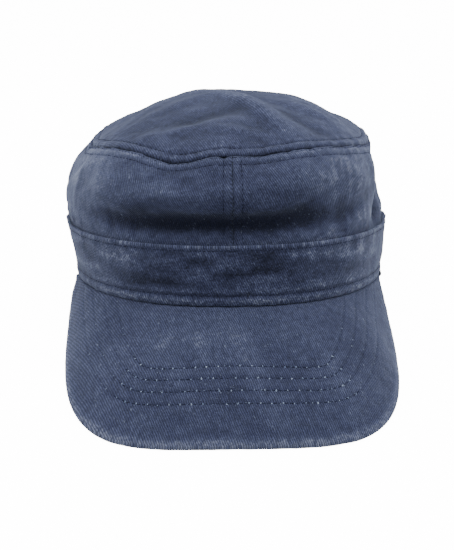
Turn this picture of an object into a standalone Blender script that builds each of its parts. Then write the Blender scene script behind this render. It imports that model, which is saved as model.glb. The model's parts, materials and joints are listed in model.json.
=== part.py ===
# Army cap (cadet cap) of washed navy cotton twill, resting on a surface.
#
# A band of doubled cloth runs round the head opening. Two wall halves stand in it and meet in a
# seam at the front and one at the back. A soft domed top panel closes the crown, and a stiffened
# peak is sewn under the front of the band.
#
# The cap is drawn in its own frame first, in millimetres: the rim of the head opening lies in the
# plane z = 0, the front faces -Y, and an angle of 0 is the front centre, +90 the wearer's left
# (+X). It is then tilted back about the rear of the rim until the peak's front edge and the back
# of the rim both touch the surface, where the cloth is pressed flat.

import math

import bpy
import bmesh
from mathutils import Vector

MM = 0.001

# Head opening: an oval for a 58 cm head.
RIM_HALF_WIDTH = 83.4
RIM_HALF_LENGTH = 98.0
OVAL_POWER = 2.3

# Cloth and the gap that neighbouring pieces keep.
BAND_THICKNESS = 1.8
CLOTH_THICKNESS = 1.2
GAP = 0.3
TUCK_GAP = 0.5

# Heights above the rim.
BAND_HEIGHT = 29.5
TUCK_HEIGHT = 22.0
CLOTH_CLEAR_HEIGHT = 35.0
SAG_HEIGHT = 50.0
HELD_HEIGHT = 64.0
SEAM_HEIGHT = 72.0

# Top panel: a dome above the seam. Its folds die out and its sag builds up towards the seam.
DOME_RISE = 22.0
DOME_POWER = 2.5
SEAM_TILT = 42.0
TOP_CLEARANCE = 0.39
TOP_HOLD_POWER = 6
TOP_SAG_POWER = 5

# Peak: length at the centre, half width, and where it leaves the rim.
PEAK_THICKNESS = 3.0
PEAK_REACH = 61.5
PEAK_HALF_WIDTH = 85.8
PEAK_TAPER = 3.0
PEAK_LEAN = 2.2
PEAK_LEAN_START = 0.9
PEAK_END = 24.0
PEAK_POWER = 4.2
PEAK_DROP_POWER = 1.8
PEAK_EDGE_HEIGHT = 1.6

# The peak's arch at the middle of the cap: how far it bows forwards and up.
PEAK_BOW_AHEAD = 1.25
PEAK_BOW_UP = 2.1

# The peak's outer edge, as parts of its thickness: rounded shoulder, nose outwards and nose down.
PEAK_SHOULDER = 0.1
PEAK_NOSE_OUT = 0.3
PEAK_NOSE_DOWN = 0.5
PEAK_NOSE_FROM = 0.9

# How the cap rests: tilt about the rear of the rim, and how far the cloth is pressed flat.
REST_TILT = 12.8
REST_SINK = 1.2

# Mesh divisions.
BAND_COLUMNS = 84
WALL_COLUMNS = 42
TOP_COLUMNS = 64
PEAK_COLUMNS = 42
PEAK_REACHES = [0.0, 0.12, 0.28, 0.46, 0.64, 0.82, 0.985]

# Small steps over which the slope of a surface is taken: round the cap, up it and along it.
ANGLE_STEP = 0.01
HEIGHT_STEP = 0.5
RING_STEP = 0.004
REACH_STEP = 0.02

# Outer face of the cloth at each height: half width, reach to the front, reach to the back, and
# how far the outline leans towards +X.
SECTIONS = [
    # height, half_width, front, back, lean
    (0.0, RIM_HALF_WIDTH, RIM_HALF_LENGTH, RIM_HALF_LENGTH, 0.0),
    (9.0, 84.4, 97.6, 98.0, -0.2),
    (18.0, 86.4, 97.0, 98.6, -0.7),
    (BAND_HEIGHT, 87.6, 96.5, 99.5, -1.3),
    (40.0, 88.0, 96.0, 101.5, -0.5),
    (50.0, 88.0, 95.5, 102.0, 0.2),
    (60.0, 84.6, 93.0, 100.0, 1.2),
    (67.0, 80.6, 89.3, 96.5, 1.3),
    (SEAM_HEIGHT, 76.0, 84.5, 91.5, 1.1),
]

# Heights of the mesh rows.
BAND_ROWS = [0.0, 5.0, 14.0, 23.0, BAND_HEIGHT]
WALL_ROWS = [TUCK_HEIGHT, BAND_HEIGHT + GAP, 32.0, 34.5, 37.5, 41.0, 45.0, 50.0, 55.5, 61.0, 66.0, 69.5]
TOP_RINGS = [1.0, 0.965, 0.91, 0.83, 0.71, 0.56, 0.38, 0.19]

# Dents and folds of the walls. Length and breadth are half sizes along and across the fold, and
# turn is the fold's direction, 0 level and 90 upright. Push is outwards, so a dent is negative.
WALL_FOLDS = [
    # angle, height, length, breadth, turn, push
    (-8.0, 39.5, 56.0, 6.8, 0.0, -9.0),      # deep valley across the front, above the band
    (33.0, 44.0, 26.0, 6.5, 12.0, -3.5),     # its shallower end, rising to the right
    (-8.0, 55.0, 50.0, 8.0, 0.0, 1.8),       # brow that hangs over the valley
    (58.0, 56.0, 23.0, 5.0, 93.0, 2.5),      # upright ridge on the right
    (64.0, 34.0, 12.0, 11.0, 85.0, -12.0),   # deep hollow behind that ridge, above the band
    (80.0, 57.0, 46.0, 16.0, 10.0, -12.0),   # right side slumped in under the seam
    (91.0, 48.0, 16.0, 12.0, 93.0, -3.0),    # rear of the right side, hanging slack
    (-83.0, 44.0, 12.0, 5.0, 80.0, -3.5),    # short hollow on the left
    (-101.0, 50.0, 18.0, 12.0, 90.0, 2.0),   # rear of the left side, puffed out
    (148.0, 46.0, 34.0, 8.0, -18.0, -3.6),   # slack fold, back right
    (-146.0, 48.0, 34.0, 8.0, 16.0, -3.6),   # slack fold, back left
    (178.0, 38.0, 30.0, 6.5, 0.0, -2.6),     # slack above the band at the back
]

# Where the seam of the top panel sags below its level line.
SEAM_DIPS = [
    # angle, half_angle, drop
    (-84.0, 20.0, 4.0),
    (-43.0, 10.0, -1.1),
    (-20.0, 9.0, 4.8),
    (6.0, 7.0, 1.2),
    (28.0, 17.0, -2.3),
    (70.0, 12.0, 2.0),
]

# Ridges and valleys of the top panel, placed from above. Turn 0 runs along X.
TOP_FOLDS = [
    # x, y, length, breadth, turn, rise
    (10.0, -30.0, 46.0, 9.0, -60.0, 3.0),    # ridge from the middle to the front right
    (-12.0, 12.0, 34.0, 26.0, -60.0, 1.6),   # broad crown that it starts from
    (44.0, -8.0, 32.0, 8.0, -38.0, 2.0),     # shorter ridge beside it
    (28.0, -38.0, 30.0, 7.0, -55.0, -1.6),   # shallow valley between the two
    (-34.0, -46.0, 30.0, 13.0, 25.0, -3.2),  # soft hollow at the front left
    (-56.0, 6.0, 40.0, 16.0, 90.0, -3.0),    # slumped left side
    (-20.0, 44.0, 40.0, 12.0, 20.0, -1.8),   # slack at the rear
]

# Washed navy cotton, a shade for each piece: linear colour and roughness.
CLOTH_SHADES = {
    "band": ((0.055, 0.075, 0.132, 1.0), 0.95),
    "wall_left": ((0.066, 0.088, 0.152, 1.0), 0.95),
    "wall_right": ((0.066, 0.088, 0.152, 1.0), 0.95),
    "top_panel": ((0.074, 0.099, 0.170, 1.0), 0.95),
    "peak": ((0.070, 0.095, 0.160, 1.0), 0.93),
}


def clear_scene():
    for item in list(bpy.data.objects):
        bpy.data.objects.remove(item, do_unlink=True)


def smooth_step(value, low, high):
    t = min(max((value - low) / (high - low), 0.0), 1.0)
    return t * t * (3.0 - 2.0 * t)


def section_at(height):
    # Half width, front and back at a height, on a smooth curve through the table.
    last = len(SECTIONS) - 1
    i = 0
    while i < last - 1 and height > SECTIONS[i + 1][0]:
        i += 1
    before, low, high, after = (SECTIONS[max(i - 1, 0)], SECTIONS[i], SECTIONS[i + 1],
                                SECTIONS[min(i + 2, last)])
    span = high[0] - low[0]
    t = (height - low[0]) / span
    sizes = []
    for k in (1, 2, 3, 4):
        slope_low = (high[k] - before[k]) / (high[0] - before[0]) * span
        slope_high = (after[k] - low[k]) / (after[0] - low[0]) * span
        sizes.append((2 * t**3 - 3 * t**2 + 1) * low[k] + (t**3 - 2 * t**2 + t) * slope_low
                     + (3 * t**2 - 2 * t**3) * high[k] + (t**3 - t**2) * slope_high)
    return sizes


def oval_radius(angle, half_width, front, back):
    side = math.sin(angle)
    ahead = math.cos(angle)
    length = front if ahead > 0.0 else back
    total = abs(side / half_width) ** OVAL_POWER + abs(ahead / length) ** OVAL_POWER
    return total ** (-1.0 / OVAL_POWER)


def polar(angle, radius, height, lean=0.0):
    return Vector((lean + radius * math.sin(angle), -radius * math.cos(angle), height))


def fold_height(across, up, length, breadth, turn, size):
    # One fold: a soft ridge, longer one way than the other.
    c = math.cos(math.radians(turn))
    s = math.sin(math.radians(turn))
    along = (across * c + up * s) / length
    aside = (up * c - across * s) / breadth
    return size * math.exp(-along * along - aside * aside)


def wall_push(angle, height):
    mean_radius = 0.5 * (RIM_HALF_WIDTH + RIM_HALF_LENGTH)
    total = 0.0
    for fold_angle, fold_up, length, breadth, turn, push in WALL_FOLDS:
        turn_away = math.remainder(angle - math.radians(fold_angle), 2.0 * math.pi)
        total += fold_height(turn_away * mean_radius, height - fold_up, length, breadth, turn, push)
    return total


def seam_drop(angle):
    total = 0.0
    for dip_angle, half_angle, drop in SEAM_DIPS:
        away = math.remainder(angle - math.radians(dip_angle), 2.0 * math.pi)
        total += drop * math.exp(-(away / math.radians(half_angle)) ** 2)
    return total


def band_point(angle, height):
    *sizes, lean = section_at(height)
    return polar(angle, oval_radius(angle, *sizes), height, lean)


def wall_point(angle, height):
    # The lower edge is tucked inside the band, then the cloth swings out over the band's top.
    *sizes, lean = section_at(height)
    radius = oval_radius(angle, *sizes)
    tucked = radius - BAND_THICKNESS - TUCK_GAP
    # The folds die out where the seam holds the cloth.
    free = 1.0 - smooth_step(height, HELD_HEIGHT, SEAM_HEIGHT)
    loose = radius + wall_push(angle, height) * free
    out = smooth_step(height, BAND_HEIGHT + GAP, CLOTH_CLEAR_HEIGHT)
    sag = seam_drop(angle) * smooth_step(height, SAG_HEIGHT, SEAM_HEIGHT)
    return polar(angle, tucked + (loose - tucked) * out, height - sag, lean)


def top_point(angle, fraction):
    *sizes, lean = section_at(SEAM_HEIGHT)
    place = polar(angle, fraction * oval_radius(angle, *sizes), 0.0, lean)
    rise = DOME_RISE * (1.0 - fraction ** DOME_POWER)
    free = 1.0 - fraction ** TOP_HOLD_POWER
    for x, y, length, breadth, turn, size in TOP_FOLDS:
        rise += fold_height(place.x - x, place.y - y, length, breadth, turn, size) * free
    sag = seam_drop(angle) * fraction ** TOP_SAG_POWER
    place.z = SEAM_HEIGHT + TOP_CLEARANCE - sag + rise
    return place


def seam_normal(angle):
    tilt = math.radians(SEAM_TILT)
    return polar(angle, math.cos(tilt), math.sin(tilt))


def surface_normal(point_at, u, v, step_u, step_v):
    along = point_at(u + step_u, v) - point_at(u - step_u, v)
    up = point_at(u, v + step_v) - point_at(u, v - step_v)
    return along.cross(up).normalized()


def rest_on_surface(point):
    # Tilt the cap back about the rear of its rim, then press it flat on the surface.
    tilt = math.radians(REST_TILT)
    y = point.y - RIM_HALF_LENGTH
    down = y * math.cos(tilt) + point.z * math.sin(tilt) + RIM_HALF_LENGTH
    up = point.z * math.cos(tilt) - y * math.sin(tilt) - REST_SINK
    return Vector((point.x, down, max(up, 0.0)))


def add_piece(name, loops, closed_round):
    # Skin a row of closed section loops. A piece that goes all the way round has no end caps.
    bm = bmesh.new()
    rows = []
    for loop in loops:
        rows.append([bm.verts.new(point * MM) for point in loop])
    count = len(rows[0])
    last = len(rows) if closed_round else len(rows) - 1
    for i in range(last):
        here = rows[i]
        there = rows[(i + 1) % len(rows)]
        for j in range(count):
            k = (j + 1) % count
            bm.faces.new((here[j], here[k], there[k], there[j]))
    if not closed_round:
        for row in (rows[0], rows[-1]):
            # A cap of quads between the outer half of the loop and the inner half. Where the count
            # is odd it ends in a triangle.
            for j in range((count - 1) // 2):
                corners = [row[j], row[j + 1], row[count - 1 - j]]
                if j + 1 != count - 2 - j:
                    corners.insert(2, row[count - 2 - j])
                bm.faces.new(corners)
    finish_piece(name, bm)


def finish_piece(name, bm):
    bmesh.ops.recalc_face_normals(bm, faces=bm.faces)
    mesh = bpy.data.meshes.new(name)
    bm.to_mesh(mesh)
    bm.free()
    mesh.shade_smooth()
    piece = bpy.data.objects.new(name, mesh)
    bpy.context.scene.collection.objects.link(piece)
    colour, roughness = CLOTH_SHADES[name]
    material = bpy.data.materials.new(name)
    material.use_nodes = True
    shader = material.node_tree.nodes["Principled BSDF"]
    shader.inputs["Base Color"].default_value = colour
    shader.inputs["Roughness"].default_value = roughness
    shader.inputs["Metallic"].default_value = 0.0
    mesh.materials.append(material)


def make_band():
    loops = []
    for i in range(BAND_COLUMNS):
        angle = 2.0 * math.pi * i / BAND_COLUMNS
        outer = [band_point(angle, height) for height in BAND_ROWS]
        inner = [point - polar(angle, BAND_THICKNESS, 0.0) for point in reversed(outer)]
        loops.append([rest_on_surface(point) for point in outer + inner])
    add_piece("band", loops, closed_round=True)


def make_wall(name, side):
    # side is +1 for the half at +X and -1 for the half at -X.
    margin = 0.5 * GAP / RIM_HALF_LENGTH
    loops = []
    for i in range(WALL_COLUMNS + 1):
        angle = side * (margin + (math.pi - 2.0 * margin) * i / WALL_COLUMNS)
        outer = []
        inner = []
        for height in WALL_ROWS:
            point = wall_point(angle, height)
            outer.append(point)
            facing = surface_normal(wall_point, angle, height, ANGLE_STEP, HEIGHT_STEP)
            inner.append(point - CLOTH_THICKNESS * facing)
        edge = wall_point(angle, SEAM_HEIGHT)
        outer.append(edge)
        inner.append(edge - CLOTH_THICKNESS * seam_normal(angle))
        loops.append([rest_on_surface(point) for point in outer + inner[::-1]])
    add_piece(name, loops, closed_round=False)


def make_top_panel():
    bm = bmesh.new()
    faces = []
    for inside in (False, True):
        rings = []
        for fraction in TOP_RINGS:
            ring = []
            for i in range(TOP_COLUMNS):
                angle = 2.0 * math.pi * i / TOP_COLUMNS
                point = top_point(angle, fraction)
                if inside and fraction == 1.0:
                    point = point - CLOTH_THICKNESS * seam_normal(angle)
                elif inside:
                    # The surface runs inwards here, so its normal points down.
                    facing = surface_normal(top_point, angle, fraction, ANGLE_STEP, RING_STEP)
                    point = point + CLOTH_THICKNESS * facing
                ring.append(bm.verts.new(rest_on_surface(point) * MM))
            rings.append(ring)
        centre = top_point(0.0, 0.0)
        if inside:
            centre.z -= CLOTH_THICKNESS
        pole = bm.verts.new(rest_on_surface(centre) * MM)
        for ring, smaller in zip(rings, rings[1:]):
            for i in range(TOP_COLUMNS):
                k = (i + 1) % TOP_COLUMNS
                bm.faces.new((ring[i], ring[k], smaller[k], smaller[i]))
        for i in range(TOP_COLUMNS):
            bm.faces.new((rings[-1][i], rings[-1][(i + 1) % TOP_COLUMNS], pole))
        faces.append(rings[0])
    outer_edge, inner_edge = faces
    for i in range(TOP_COLUMNS):
        k = (i + 1) % TOP_COLUMNS
        bm.faces.new((outer_edge[k], outer_edge[i], inner_edge[i], inner_edge[k]))
    finish_piece("top_panel", bm)


def peak_outline(turn):
    # Upper outer edge of the peak as it rests, from one end (-90 degrees) to the other (+90).
    end = rest_on_surface(polar(peak_end_angle(), rim_radius(peak_end_angle()), 0.0))
    tip = rest_on_surface(polar(0.0, RIM_HALF_LENGTH, 0.0)).y - PEAK_REACH
    length = end.y - tip
    side = math.sin(turn)
    ahead = max(math.cos(turn), 0.0)
    total = abs(side / PEAK_HALF_WIDTH) ** PEAK_POWER + (ahead / length) ** PEAK_POWER
    radius = total ** (-1.0 / PEAK_POWER)
    forward = radius * ahead / length
    narrower = 1.0 - PEAK_TAPER / PEAK_HALF_WIDTH * (1.0 - forward) ** 2
    across = radius * side * narrower + PEAK_LEAN * (forward - PEAK_LEAN_START)
    height = PEAK_EDGE_HEIGHT + (end.z - PEAK_EDGE_HEIGHT) * (1.0 - forward) ** PEAK_DROP_POWER
    return Vector((across, end.y - radius * ahead, height))


def rim_radius(angle):
    return oval_radius(angle, RIM_HALF_WIDTH, RIM_HALF_LENGTH, RIM_HALF_LENGTH)


def peak_end_angle():
    half = RIM_HALF_WIDTH * (1.0 - (PEAK_END / RIM_HALF_LENGTH) ** OVAL_POWER) ** (1.0 / OVAL_POWER)
    return math.atan2(half, PEAK_END)


def peak_top(turn, reach):
    # Upper face of the peak: straight from the rim (reach 0) to the edge (reach 1), a little arched.
    angle = turn / (0.5 * math.pi) * peak_end_angle()
    inner = rest_on_surface(polar(angle, rim_radius(angle), -GAP))
    outer = peak_outline(turn)
    arch = math.cos(turn) * 4.0 * reach * (1.0 - reach)
    return inner.lerp(outer, reach) + arch * Vector((0.0, -PEAK_BOW_AHEAD, PEAK_BOW_UP))


def make_peak():
    loops = []
    for i in range(PEAK_COLUMNS + 1):
        turn = math.pi * (i / PEAK_COLUMNS - 0.5)
        angle = turn / (0.5 * math.pi) * peak_end_angle()
        edge = peak_outline(turn)
        top = [rest_on_surface(polar(angle, rim_radius(angle) - BAND_THICKNESS, -GAP))]
        under = []
        for reach in PEAK_REACHES:
            point = peak_top(turn, reach)
            normal = -surface_normal(peak_top, turn, reach, ANGLE_STEP, REACH_STEP)
            if reach == 0.0:
                under.append(top[0] - PEAK_THICKNESS * normal)
            top.append(point)
            under.append(point - PEAK_THICKNESS * normal)
        outward = (edge - peak_top(turn, PEAK_NOSE_FROM)).normalized()
        shoulder = edge - PEAK_SHOULDER * PEAK_THICKNESS * normal
        nose = edge + PEAK_THICKNESS * (PEAK_NOSE_OUT * outward - PEAK_NOSE_DOWN * normal)
        foot = edge - PEAK_THICKNESS * normal
        loop = top + [shoulder, nose, foot] + under[::-1]
        loops.append([Vector((p.x, p.y, max(p.z, 0.0))) for p in loop])
    add_piece("peak", loops, closed_round=False)


def centre_on_origin():
    # The middle of the cap's box is at x = y = 0, and it stands on z = 0.
    pieces = list(bpy.context.scene.collection.objects)
    xs = [v.co.x for piece in pieces for v in piece.data.vertices]
    ys = [v.co.y for piece in pieces for v in piece.data.vertices]
    shift = Vector((-0.5 * (min(xs) + max(xs)), -0.5 * (min(ys) + max(ys)), 0.0))
    for piece in pieces:
        for v in piece.data.vertices:
            v.co += shift
        piece.data.update()


clear_scene()
make_band()
make_wall("wall_left", -1)
make_wall("wall_right", 1)
make_top_panel()
make_peak()
centre_on_origin()
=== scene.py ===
# Washed navy army cap: cloth panels, seams, stitching and finishes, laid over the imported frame.
# Everything is in metres, and the front of the cap faces -Y.

import json
import math

import bpy
import numpy as np
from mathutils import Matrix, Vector
from mathutils.bvhtree import BVHTree


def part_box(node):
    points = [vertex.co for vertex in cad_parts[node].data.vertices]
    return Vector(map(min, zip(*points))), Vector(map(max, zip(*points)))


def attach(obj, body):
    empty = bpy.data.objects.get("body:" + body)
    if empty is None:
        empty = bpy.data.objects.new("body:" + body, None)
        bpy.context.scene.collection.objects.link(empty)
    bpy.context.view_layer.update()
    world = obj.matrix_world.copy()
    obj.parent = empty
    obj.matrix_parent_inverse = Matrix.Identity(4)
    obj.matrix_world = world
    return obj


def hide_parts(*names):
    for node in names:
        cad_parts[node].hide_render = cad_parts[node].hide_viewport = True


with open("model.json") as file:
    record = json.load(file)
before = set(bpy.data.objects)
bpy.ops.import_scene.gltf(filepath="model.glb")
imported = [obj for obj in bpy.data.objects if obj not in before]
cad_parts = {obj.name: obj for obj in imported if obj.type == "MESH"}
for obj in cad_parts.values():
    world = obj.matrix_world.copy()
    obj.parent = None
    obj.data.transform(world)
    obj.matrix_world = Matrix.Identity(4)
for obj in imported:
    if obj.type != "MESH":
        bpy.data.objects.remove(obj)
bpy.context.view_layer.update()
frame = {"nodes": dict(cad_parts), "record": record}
record = frame["record"]
mm = 0.001
print("stage: frame loaded")


# The camera, the floor and the lamps.

studio = {
    "aim": (0.0003, 0.0005, 0.0234), "distance": 0.65, "azimuth": -1.48, "elevation": 26.14,
    "lens": 77.8, "surround": 0.22, "floorGlow": 14.0, "lampAim": (0.0, 0.0, 0.04),
    # place, size, power
    "lamps": {"overhead": ((0.0, 0.06, 1.0), 1.0, 14.0), "left": ((-1.1, 0.1, 0.5), 0.8, 4.0),
              "right": ((1.1, 0.1, 0.5), 0.8, 4.0), "front": ((-0.2, -1.4, 0.8), 0.8, 2.4)},
}


def glowForCamera(tree, socket, base):
    # Light that the camera alone sees, as from a light table, on top of the base.
    seen = tree.nodes.new("ShaderNodeLightPath")
    glow = tree.nodes.new("ShaderNodeMath")
    glow.operation = "MULTIPLY_ADD"
    glow.inputs[1].default_value = studio["floorGlow"]
    glow.inputs[2].default_value = base
    tree.links.new(seen.outputs["Is Camera Ray"], glow.inputs[0])
    tree.links.new(glow.outputs[0], socket)


def buildStudio():
    scene = bpy.context.scene
    aim = Vector(studio["aim"])
    turn = math.radians(studio["azimuth"])
    rise = math.radians(studio["elevation"])
    away = Vector((math.sin(turn) * math.cos(rise), -math.cos(turn) * math.cos(rise), math.sin(rise)))
    bpy.ops.object.select_all(action="DESELECT")
    bpy.ops.object.camera_add(location=aim + studio["distance"] * away)
    camera = bpy.context.object
    camera.rotation_euler = away.to_track_quat("Z", "Y").to_euler()
    camera.data.lens = studio["lens"]
    scene.camera = camera

    bpy.ops.mesh.primitive_plane_add(size=120.0, location=(0.0, 0.0, 0.0))
    floor = bpy.context.object
    floor.name = "floor"
    paint = bpy.data.materials.new("paleFloor")
    paint.use_nodes = True
    shader = paint.node_tree.nodes["Principled BSDF"]
    shader.inputs["Base Color"].default_value = (0.92, 0.92, 0.92, 1.0)
    shader.inputs["Roughness"].default_value = 0.9
    shader.inputs["Emission Color"].default_value = (1.0, 1.0, 1.0, 1.0)
    glowForCamera(paint.node_tree, shader.inputs["Emission Strength"], 0.0)
    floor.data.materials.append(paint)

    world = bpy.data.worlds.new("softSurround")
    world.use_nodes = True
    background = world.node_tree.nodes["Background"]
    background.inputs["Color"].default_value = (1.0, 1.0, 1.0, 1.0)
    glowForCamera(world.node_tree, background.inputs["Strength"], studio["surround"])
    scene.world = world

    for name, (place, size, power) in studio["lamps"].items():
        bpy.ops.object.light_add(type="AREA", location=place)
        lamp = bpy.context.object
        lamp.name = name
        lamp.data.size = size
        lamp.data.energy = power
        towards = Vector(place) - Vector(studio["lampAim"])
        lamp.rotation_euler = towards.to_track_quat("Z", "Y").to_euler()


buildStudio()
print("stage: studio set")


# The rim's own axes, from the head opening in the record.

opening = next(m for m in record["mounts"] if m["name"] == "head_opening")
rimCentre = np.array(opening["pos_m"], dtype=float)
rimUp = -np.array(opening["axis"], dtype=float)
rimUp /= np.linalg.norm(rimUp)
rimSide = np.array([1.0, 0.0, 0.0])
rimBack = np.cross(rimUp, rimSide)
meanRadius = 0.091
roundLength = 2 * math.pi * meanRadius
farOut = 0.16  # beyond the cap on every side


def capPoint(angle, radius, height):
    # Angle 0 is the front centre and grows towards +X; height is measured from the rim.
    angle, radius, height = np.broadcast_arrays(angle, radius, height)
    return (rimCentre + (radius * np.sin(angle))[..., None] * rimSide
            - (radius * np.cos(angle))[..., None] * rimBack + height[..., None] * rimUp)


def capCoords(points):
    # Angle, radius and height of points.
    away = np.asarray(points) - rimCentre
    across = away @ rimSide
    ahead = -(away @ rimBack)
    return np.arctan2(across, ahead), np.hypot(across, ahead), away @ rimUp


def treeOf(*names):
    corners = []
    triangles = []
    for name in names:
        mesh = frame["nodes"][name].data
        mesh.calc_loop_triangles()
        start = len(corners)
        corners += [v.co.copy() for v in mesh.vertices]
        triangles += [[start + k for k in t.vertices] for t in mesh.loop_triangles]
    return BVHTree.FromPolygons(corners, triangles)


bandTree = treeOf("band")
wallTree = treeOf("wall_left", "wall_right")
topTree = treeOf("top_panel")
peakTree = treeOf("peak")


def castRay(tree, start, towards, reach=farOut - 0.01):
    hit = tree.ray_cast(Vector(start), Vector(towards), reach)[0]
    return None if hit is None else np.array(hit)


def outerRadius(tree, angle, height):
    # Radius of the outside of the cloth, looking in towards the axis.
    hit = castRay(tree, capPoint(angle, farOut, height), -(capPoint(angle, 1.0, 0.0) - rimCentre))
    return None if hit is None else float(capCoords(hit)[1])


def nearRadius(tree, angle, height):
    # The same, or from just below where the cloth ends.
    found = outerRadius(tree, angle, height)
    while found is None:
        height -= 0.2 * mm
        found = outerRadius(tree, angle, height)
    return found


def lastHit(test, sure, miss, rounds=14):
    # How far from sure towards miss the test still finds cloth.
    for _ in range(rounds):
        middle = 0.5 * (sure + miss)
        if test(middle) is None:
            miss = middle
        else:
            sure = middle
    return sure


# Smooth noise, grids and curves.

def softNoise(points, size, seed):
    # Smooth noise from -1 to 1, with lumps of about the given size.
    cells = 32
    table = np.random.default_rng(seed).uniform(-1.0, 1.0, (cells, cells, cells))
    place = np.asarray(points) / size + 1000.0
    low = np.floor(place).astype(int)
    part = place - low
    part = part * part * (3.0 - 2.0 * part)
    total = 0.0
    for corner in np.ndindex(2, 2, 2):
        weight = np.prod(np.abs(1 - np.array(corner) - part), axis=-1)
        x, y, z = np.moveaxis((low + np.array(corner)) % cells, -1, 0)
        total = total + weight * table[x, y, z]
    return 1.6 * total


def puckers(angle, across, pitch, seed):
    # Upright puckers round the cap, one every pitch or so, which drift slowly with height.
    lump = 0.55 * pitch
    drift = 3.5 * pitch
    across = across / drift
    around = meanRadius / lump
    return softNoise(np.stack([around * np.sin(angle), around * np.cos(angle), across], axis=-1), 1.0, seed)


def levelBlotches(points, up, seed):
    # Blotches drawn out level round the cap.
    length = 16 * mm
    breadth = 4.2 * mm
    place = np.stack([points[..., 0] / length, points[..., 1] / length, up / breadth], axis=-1)
    return softNoise(place, 1.0, seed)


def bump(distance, width):
    return np.exp(-(distance / width) ** 2)


def ease(value, low, high):
    t = np.clip((value - low) / (high - low), 0.0, 1.0)
    return t * t * (3.0 - 2.0 * t)


def smoothGrid(points, rounds, wrap=False):
    out = points.copy()
    for _ in range(rounds):
        if wrap:
            along = 0.5 * (np.roll(out, 1, 0) + np.roll(out, -1, 0))
        else:
            along = out.copy()
            along[1:-1] = 0.5 * (out[:-2] + out[2:])
        mixed = 0.5 * (out + along)
        inner = 0.25 * (out[:, :-2] + out[:, 2:]) + 0.5 * mixed[:, 1:-1]
        mixed[:, 1:-1] = inner
        out = mixed
    return out


def refineRows(rows, parts, wrap=False):
    # Cubic curves through the rows of an array, with each span cut into equal parts.
    count = len(rows)
    if wrap:
        padded = np.concatenate([rows[-1:], rows, rows[:2]])
        place = np.arange(count * parts) / parts
        low = place.astype(int)
    else:
        padded = np.concatenate([2 * rows[:1] - rows[1:2], rows, 2 * rows[-1:] - rows[-2:-1]])
        place = np.arange((count - 1) * parts + 1) / parts
        low = np.minimum(place.astype(int), count - 2)
    t = (place - low).reshape((-1,) + (1,) * (rows.ndim - 1))
    a, b, c, d = padded[low], padded[low + 1], padded[low + 2], padded[low + 3]
    return b + 0.5 * t * (c - a + t * (2 * a - 5 * b + 4 * c - d + t * (3 * (b - c) + d - a)))


def refineGrid(grid, partsU, partsV, wrap=False):
    finer = refineRows(grid, partsU, wrap)
    return np.swapaxes(refineRows(np.swapaxes(finer, 0, 1), partsV), 0, 1)


def slopes(grid, axis, wrap):
    if wrap:
        return 0.5 * (np.roll(grid, -1, axis) - np.roll(grid, 1, axis))
    return np.gradient(grid, axis=axis)


def unit(vectors):
    return vectors / np.maximum(np.linalg.norm(vectors, axis=-1, keepdims=True), 1e-12)


def gridNormals(grid, wrap=False):
    return unit(np.cross(slopes(grid, 0, wrap), slopes(grid, 1, False)))


def runLength(grid, axis):
    # Distance travelled along the rows or columns of a grid.
    total = np.cumsum(np.linalg.norm(np.diff(grid, axis=axis), axis=-1), axis=axis)
    return np.concatenate([np.zeros_like(np.take(total, [0], axis)), total], axis=axis)


def proud(grid, normals, step, wrap=False):
    # How far the cloth stands above its neighbours some cells away: more than 0 on a ridge.
    def shifted(axis, by):
        if wrap and axis == 0:
            return np.roll(grid, by, 0)
        index = np.clip(np.arange(grid.shape[axis]) - by, 0, grid.shape[axis] - 1)
        return np.take(grid, index, axis)
    around = 0.25 * (shifted(0, step) + shifted(0, -step) + shifted(1, step) + shifted(1, -step))
    return np.sum((grid - around) * normals, axis=-1)


def wearOf(grid, normals, wrap=False, extra=0.0):
    # Washed-out ridges above 0, dark hollows below.
    fine = proud(grid, normals, 3, wrap) / (0.16 * mm)
    broad = proud(grid, normals, 10, wrap) / (0.9 * mm)
    return np.clip(0.5 * np.tanh(fine) + 0.6 * np.tanh(broad) + extra, -1.5, 1.5)


# Closed cloth: an outside grid becomes a skin of the given thickness with rolled edges.

rollSteps = 4


def rollEdge(outer, normals, half, end, steps=rollSteps, bulge=1.0):
    # Points round the last row's edge from outside to inside, or round the first row's edge back again.
    row, beside = (-1, -2) if end else (0, 1)
    away = unit(outer[:, row] - outer[:, beside])
    turns = np.pi * np.arange(1, steps) / steps
    points = [outer[:, row] - half * (1 - math.cos(a)) * normals[:, row] + bulge * half * math.sin(a) * away
              for a in (turns if end else turns[::-1])]
    return np.stack(points, axis=1)


def rolledSkin(outer, normals, thickness):
    # Outside rows, a rolled edge at the end, inside rows back, and a rolled edge at the start.
    inner = outer - thickness * normals
    half = 0.5 * thickness
    return np.concatenate([outer, rollEdge(outer, normals, half, True), inner[:, ::-1],
                           rollEdge(outer, normals, half, False)], axis=1)


def rolledValues(values, startSteps=rollSteps, inside=1.0):
    # The same rows for a value: carried round the rolls, and the inside repeats the outside.
    end = np.repeat(values[:, -1:], rollSteps - 1, axis=1)
    start = np.repeat(values[:, :1], startSteps - 1, axis=1)
    return np.concatenate([values, end, inside * values[:, ::-1], start], axis=1)


def cellCorners(grid):
    # The four corners of each cell of a grid.
    return np.stack([grid[:-1, :-1], grid[1:, :-1], grid[1:, 1:], grid[:-1, 1:]], axis=2)


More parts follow.
